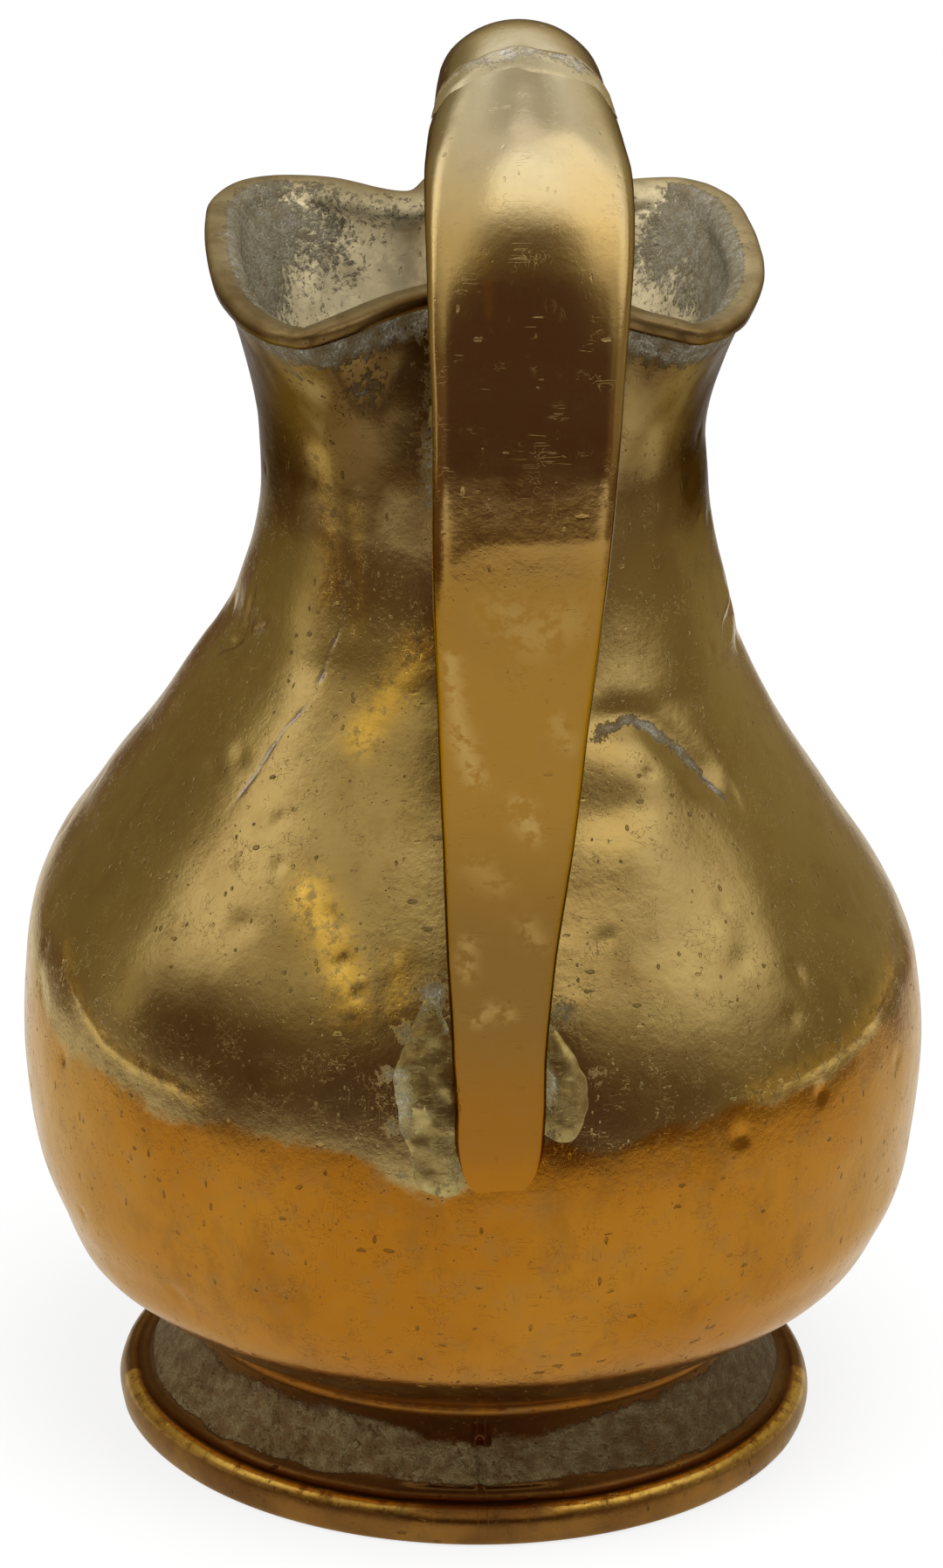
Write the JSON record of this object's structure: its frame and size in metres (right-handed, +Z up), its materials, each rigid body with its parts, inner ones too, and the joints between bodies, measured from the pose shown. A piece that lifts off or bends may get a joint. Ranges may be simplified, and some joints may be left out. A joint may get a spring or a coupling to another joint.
{
  "type": "brass jug",
  "caption": "Hand-made brass pouring jug with a round belly, pinched lobed mouth, flared foot ring and a tapering strap handle looped over its back.",
  "frame": {"origin": "centre of the foot ring's underside, on the surface that the jug stands on", "axes": "+Z up through the mouth, the handle stands at -Y and the pouring lip points to +Y, +X is to the right seen from the handle's side"},
  "size_m": [0.082, 0.0947, 0.1409],
  "materials": {
    "belly_brass": "aged cast brass, worn to a satin polish over pits and scratches",
    "neck_brass": "aged brass, satin, with an olive tarnish and grey deposits under the lip and inside",
    "foot_brass": "aged brass, dull and pitted in the flare, polished on the bead",
    "handle_brass": "aged brass, polished by handling",
    "braze": "rough braze metal with pale grey-green deposits"
  },
  "bodies": {
    "root": {"belly_bowl": "belly_brass", "neck_and_mouth": "neck_brass", "shoulder_braze": "braze", "foot_ring": "foot_brass", "foot_butt_braze": "braze", "foot_collar_braze": "braze", "handle_strap": "handle_brass", "handle_crook": "handle_brass", "crest_braze": "braze", "handle_braze_left": "braze", "handle_braze_right": "braze", "rim_braze": "braze"}
  },
  "joints": []
}
